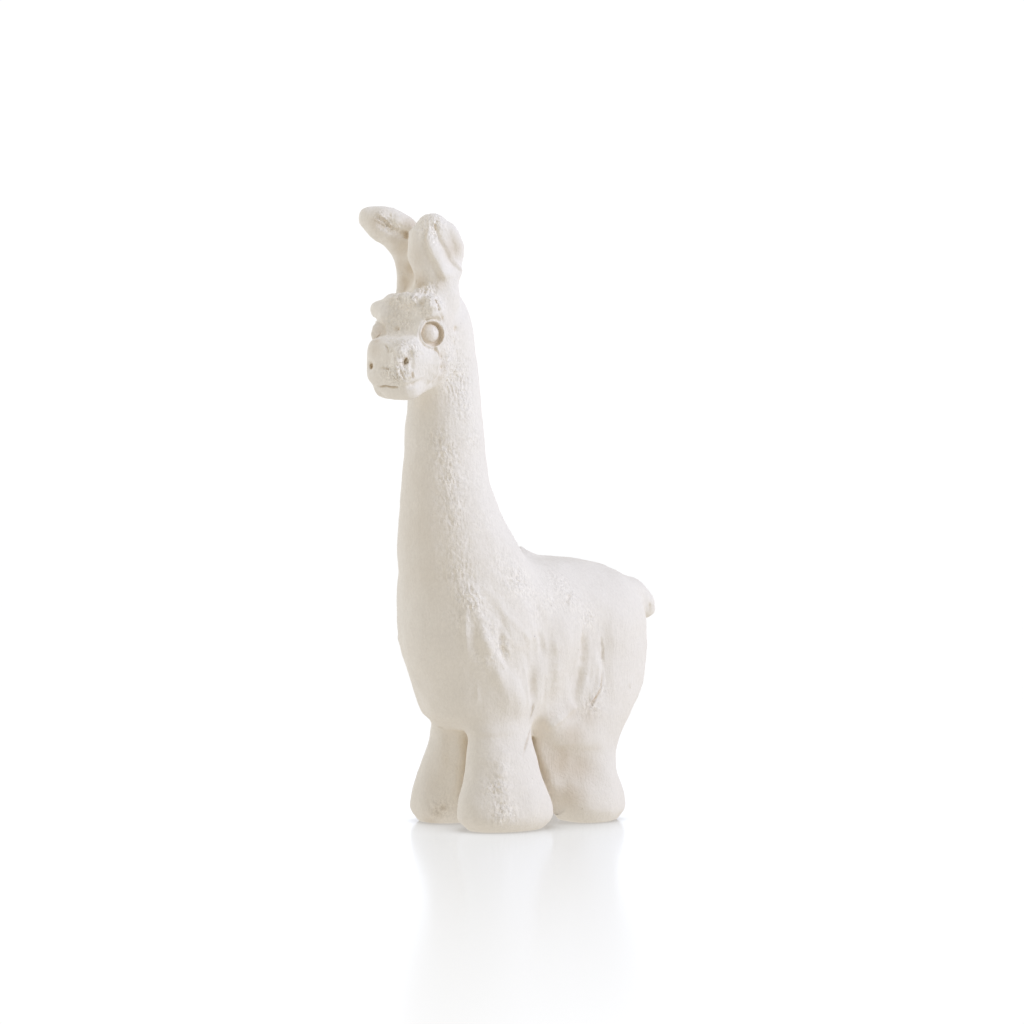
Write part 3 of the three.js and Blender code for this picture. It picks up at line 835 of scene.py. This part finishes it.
lap(seen_line((435, 348), (437.5, 360), (434.5, 373), (427, 386)), 0.9, 0.5, 3.0)
ridge(seen_line((397, 346), (398, 356), (396, 370), (398, 382)), 2.2, 1.3)
ridge(seen_line((380.5, 312), (385, 323), (387.5, 331), (384, 339)), 0.8, 0.6)
work.lay()

# %% [markdown]
# ## Ears
# The left ear was folded lengthwise: a flat bright edge runs down it, with a valley
# behind. The right ear was bent over, and its fold is a rough narrow groove.

# %% Ears
EDGE = [(446, 283), (437, 263), (430, 248), (427.5, 237), (430, 225)]
VALLEY = [(434, 225), (440, 240), (447, 252), (455, 264), (461.5, 274)]
lap(seen_line(*EDGE), 1.5, 0.35, 3.4, ends=0.12)
furrow(seen_line((443, 283), (433.5, 264), (426.5, 249), (424, 238)), 1.0, 0.5, lip=0.0)
lap(seen_line(*VALLEY), -1.2, 1.0, 3.2, ends=0.1)
furrow(seen_line((434.5, 223), (436, 230)), 0.45, 0.8, painted_shade=0.3)
furrow(seen_line((375, 215), (383, 220), (391, 227), (401, 231)), 0.6, 0.35, lip=1.4, rough=0.8, painted_shade=0.05)
furrow(seen_line((400, 230), (404, 233), (408.5, 237)), 0.8, 1.3, lip=0.1, ends=0.2, painted_shade=0.4)
dab(seen_at(378.5, 237.5), 0.5, -0.5)
# Painted shade: tan spots darken the hollows round the ears, the shaded parts of the face and neck, the hollow between
# the left legs and the right front foot.
PAINTED_SHADE_SPOTS = [
    # the ears
    (400, 250, 4.5, 0.26), (401, 266, 4.5, 0.28), (409, 268, 4.0, 0.35), (407, 282, 4.5, 0.38), (405, 290, 2.5, 0.35),
    (404, 236, 2.5, 0.25), (419, 283, 4.0, 0.4), (414, 224, 4.0, 0.36), (415, 255, 4.5, 0.16), (439, 283, 3.0, 0.2),
    (453, 249, 4.5, 0.3), (376, 222, 4.0, 0.24), (395, 240, 3.0, 0.28),
    # the face
    (448, 325, 7.0, 0.12), (434, 300, 3.0, 0.1), (375, 348, 3.5, 0.18), (377, 299, 3.0, 0.16),
    (379, 331, 2.5, 0.3), (377, 341, 1.5, 0.35), (397, 329, 1.2, 0.3), (440, 356, 2.2, 0.2), (443, 366, 2.5, 0.22),
    (441, 377, 2.5, 0.2),
    # the shaded side of the neck
    (420, 480, 15.0, 0.09), (420, 525, 15.0, 0.11), (428, 570, 13.0, 0.09),
    # the hollow between the left legs, and the right front foot
    (562, 762, 7.0, 0.42), (577, 768, 7.0, 0.36), (572, 736, 6.0, 0.3), (571, 793, 6.0, 0.3), (588, 716, 5.0, 0.2),
    (572, 714, 4.0, 0.2), (437, 814, 3.0, 0.22), (431, 822, 3.0, 0.25), (443, 808, 1.5, 0.3),
]
work.painted_shade = np.maximum(work.painted_shade, worked(PAINTED_SHADE_SPOTS))
work.lay()

# %% [markdown]
# ## Hand-made unevenness
# Fingers leave broad shallow waves, and dragging the clay draws it out into upright
# scratches. Both are slow noise along the surface's own direction. Some places were
# worked rougher than others; the list gives their place in the frame, their radius in mm
# and how rough they are.

# %% Rough places
ROUGH_SPOTS = [
    (438, 440, 5, 0.7), (446, 455, 6, 0.9), (452, 480, 6, 0.8), (455, 500, 6, 0.6), (462, 408, 5, 0.7),
    (460, 395, 5, 0.6), (452, 520, 5, 0.5), (455, 545, 6, 0.5), (458, 570, 7, 0.6), (468, 595, 6, 0.9),
    (475, 605, 5, 0.9), (462, 620, 5, 0.5), (518, 580, 7, 0.9), (502, 563, 6, 0.4), (530, 592, 6, 0.5), (560, 585, 6, 0.7),
    (570, 598, 5, 0.8), (548, 600, 6, 0.5), (535, 610, 5, 0.4), (587, 618, 5, 0.7), (500, 648, 5, 0.7),
    (490, 632, 5, 0.5), (484, 660, 4, 0.4), (592, 706, 4, 0.9), (600, 690, 3, 0.6), (497, 787, 4.5, 1.0),
    (504, 811, 5, 1.0), (500, 770, 5, 0.4), (470, 440, 6, 0.35), (475, 480, 6, 0.3), (480, 520, 6, 0.3), (441, 810, 4, 0.9), (400, 372, 4, 1.0), (390, 372, 4, 0.8),
    (412, 350, 4, 0.7), (398, 352, 4, 0.7), (400, 300, 5, 0.8), (412, 296, 5, 0.9), (430, 298, 5, 0.9),
    (425, 310, 4, 0.7), (405, 318, 6, 0.6), (395, 325, 5, 0.5), (443, 330, 5, 0.3), (450, 345, 6, 0.5), (450, 360, 7, 0.6), (455, 375, 7, 0.6),
    (386, 223, 4, 0.7), (380, 218, 3, 0.6), (395, 228, 3, 0.6), (428, 222, 4, 0.6), (433, 235, 4, 0.5),
    (438, 222, 3, 0.8), (425, 292, 5, 0.8), (402, 345, 4, 0.6), (395, 377, 4, 0.9), (436, 303, 4, 0.8),
]


rough = worked(ROUGH_SPOTS)
print("rough places:", len(ROUGH_SPOTS), "covering", round(float((rough > 0.3).mean()) * 100), "% of the points")

# %% Waves, dents and crumbs
head_share = ramp(work.places[:, 2], 160, 175)
sole_hold = ramp(work.places[:, 2], 0.4, 3.0)
waves = noise_at(work.places, 12.0, 3.1) * (0.48 - 0.23 * head_share)
dents = noise_at(work.places, (3.6, 3.6, 6.0), 7.7) * (0.13 + 0.10 * rough)
crumbs = (0.42 - crumbs_at(work.places, (1.3, 1.3, 2.8), 5.0)) * (0.08 + 1.0 * rough)
fine_crumbs = (0.42 - crumbs_at(work.places, (0.8, 0.8, 1.1), 9.0)) * (0.15 + 0.8 * rough) * head_share
work.push += (waves + dents + crumbs + fine_crumbs) * sole_hold
work.lay()
low_corner, high_corner = np.array(cad_box) * MM
work.places = np.clip(work.places, low_corner + 0.01, high_corner - 0.01)
put_points(skin, work.places)
# the painted shade and the roughness go to the finish as point attributes
for name, values in (("painted_shade", work.painted_shade), ("rough", rough)):
    layer = skin.attributes.new(name, "FLOAT", "POINT")
    layer.data.foreach_set("value", np.clip(values, 0, 1).astype(np.float32))

# %% [markdown]
# ## A lighter mesh
# The skin has far more cells than its plain places need. Collapsing the flattest ones
# first keeps the strokes crisp and brings the piece under its limit.

# %% Thin out the flat places
MOST_TRIANGLES = 196000


def thin_out(piece):
    loops = sum(len(face.vertices) - 2 for face in piece.data.polygons)
    if loops <= MOST_TRIANGLES:
        return loops
    fold = piece.modifiers.new("fold", "DECIMATE")
    fold.ratio = MOST_TRIANGLES / loops
    bpy.context.view_layer.update()
    seen = piece.evaluated_get(bpy.context.evaluated_depsgraph_get())
    made = bpy.data.meshes.new_from_object(seen)
    made.name = "llama_clay"
    piece.modifiers.clear()
    old = piece.data
    piece.data = made
    bpy.data.meshes.remove(old)
    return len(made.polygons)


print("triangles:", thin_out(clay))
skin = clay.data
for face in skin.polygons:
    face.use_smooth = True

# %% [markdown]
# ## The finish of the clay
# Unglazed clay is matt and never one flat white. Its grain and the finest scratches are
# too small for the mesh, so they are height patterns in the finish. Where little light
# gets in, the clay is painted warmer as shade, and the pits and the deepest marks are
# painted brown as shade. It is also painted a little lighter towards the top and darker
# and warmer towards the feet, and its fine flecks are painted light and shade of the grain.

# %% Finish of the clay
# painted light and shade: the clay is painted lighter and cooler towards the top and darker and warmer towards the
# feet
CLAY_HIGH_PAINTED_LIGHT = (0.855, 0.830, 0.792, 1)
CLAY_LOW_PAINTED_SHADE = (0.835, 0.800, 0.748, 1)
WARM_PAINTED_SHADE = (1.03, 0.985, 0.905, 1)
BROWN_PAINTED_SHADE = (0.48, 0.355, 0.20, 1)


def make_clay_finish():
    finish, tree = new_material("white_clay")
    place = add(tree, "TexCoord").outputs["Object"]
    in_mm = add(tree, "VectorMath", {0: place, "Scale": 1000.0}, operation="SCALE").outputs["Vector"]
    drawn = add(tree, "Mapping", {"Vector": in_mm, "Scale": (1.0, 1.0, 0.16)}).outputs["Vector"]
    rough = add(tree, "Attribute", attribute_name="rough").outputs["Fac"]
    painted_shade = add(tree, "Attribute", attribute_name="painted_shade").outputs["Fac"]

    patch = add(tree, "TexNoise", {"Vector": drawn, "Scale": 0.09, "Detail": 1.0})
    scratched = add(
        tree, "MapRange", {"Value": patch.outputs["Fac"], "From Min": 0.48, "From Max": 0.68, "To Min": 0.05, "To Max": 0.2}
    ).outputs["Result"]
    grain = add(tree, "TexNoise", {"Vector": in_mm, "Scale": 1.0, "Detail": 1.5, "Roughness": 0.6})
    scratch = add(tree, "TexNoise", {"Vector": drawn, "Scale": 1.4, "Detail": 1.0, "Roughness": 0.6})
    pits = add(tree, "TexVoronoi", {"Vector": in_mm, "Scale": 0.13})
    pit = add(
        tree, "MapRange", {"Value": pits.outputs["Distance"], "From Min": 0.02, "From Max": 0.05, "To Min": 1.0, "To Max": 0.0}
    ).outputs["Result"]
    grain_share = add(tree, "Math", {0: rough, 1: 0.35, 2: 0.18}, operation="MULTIPLY_ADD").outputs[0]
    height = add(tree, "Math", {0: grain.outputs["Fac"], 1: grain_share}, operation="MULTIPLY").outputs[0]
    height = add(tree, "Math", {0: scratch.outputs["Fac"], 1: scratched, 2: height}, operation="MULTIPLY_ADD").outputs[0]
    height = add(tree, "Math", {0: pit, 1: -0.15, 2: height}, operation="MULTIPLY_ADD").outputs[0]
    relief = add(tree, "Bump", {"Height": height, "Distance": 0.001, "Strength": 1.0})

    level = add(tree, "SeparateXYZ", {0: in_mm}).outputs["Z"]
    # painted light and shade by height
    painted_height_share = add(tree, "MapRange", {"Value": level, "From Min": 20.0, "From Max": 215.0}).outputs["Result"]
    tone = add(tree, "MixRGB", {"Fac": painted_height_share, "Color1": CLAY_LOW_PAINTED_SHADE, "Color2": CLAY_HIGH_PAINTED_LIGHT}).outputs["Color"]
    # painted shade: where the ambient occlusion finds little room, the clay is painted warmer, fading out near the
    # table
    shut = add(tree, "AmbientOcclusion", {"Distance": 0.03}, samples=8)
    warm_shade_share = add(
        tree, "MapRange", {"Value": shut.outputs["AO"], "From Min": 0.15, "From Max": 0.85, "To Min": 1.0, "To Max": 0.0}
    ).outputs["Result"]
    off_table = add(tree, "MapRange", {"Value": level, "From Min": 4.0, "From Max": 22.0}).outputs["Result"]
    warm_shade_share = add(tree, "Math", {0: warm_shade_share, 1: off_table}, operation="MULTIPLY").outputs[0]
    tone = add(
        tree, "MixRGB", {"Fac": warm_shade_share, "Color1": tone, "Color2": WARM_PAINTED_SHADE}, blend_type="MULTIPLY"
    ).outputs["Color"]
    cloud = add(tree, "TexNoise", {"Vector": in_mm, "Scale": 0.06, "Detail": 2.0})
    cloudy = add(
        tree, "MapRange", {"Value": cloud.outputs["Fac"], "From Min": 0.3, "From Max": 0.7, "To Min": 0.975, "To Max": 1.0}
    ).outputs["Result"]
    # painted light and shade: small flecks, lighter and darker, stand in for the light and shade of the grain, and
    # rough places are painted a little lighter to make up for the shade of their bumps; the cloudy part is the clay's
    # own uneven tone
    fleck = add(
        tree, "TexNoise", {"Vector": add(tree, "Mapping", {"Vector": in_mm, "Scale": (1.0, 1.0, 0.5)}).outputs["Vector"],
        "Scale": 1.1, "Detail": 2.0, "Roughness": 0.7}
    )
    painted_grain_shading = add(
        tree, "MapRange", {"Value": fleck.outputs["Fac"], "From Min": 0.3, "From Max": 0.7, "To Min": -1.0, "To Max": 1.0}
    ).outputs["Result"]
    painted_grain_share = add(tree, "Math", {0: rough, 1: 0.15, 2: 0.032}, operation="MULTIPLY_ADD").outputs[0]
    mottle_and_painted_light = add(tree, "Math", {0: painted_grain_shading, 1: painted_grain_share, 2: cloudy}, operation="MULTIPLY_ADD").outputs[0]
    mottle_and_painted_light = add(tree, "Math", {0: rough, 1: 0.04, 2: mottle_and_painted_light}, operation="MULTIPLY_ADD").outputs[0]
    tone = add(tree, "VectorMath", {0: tone, "Scale": mottle_and_painted_light}, operation="SCALE")
    # painted shade: the pits and the marks and hollows given as shade are painted brown
    brown_shade_share = add(tree, "Math", {0: pit, 1: 0.10, 2: painted_shade}, operation="MULTIPLY_ADD", use_clamp=True).outputs[0]
    tone = add(tree, "MixRGB", {"Fac": brown_shade_share, "Color1": tone.outputs["Vector"], "Color2": BROWN_PAINTED_SHADE})
    body = add(
        tree, "BsdfPrincipled",
        {"Base Color": tone.outputs["Color"], "Roughness": 0.9, "Specular IOR Level": 0.25, "Normal": relief.outputs["Normal"]},
    )
    add(tree, "OutputMaterial", {"Surface": body.outputs[0]})
    return finish


skin.materials.clear()
skin.materials.append(make_clay_finish())
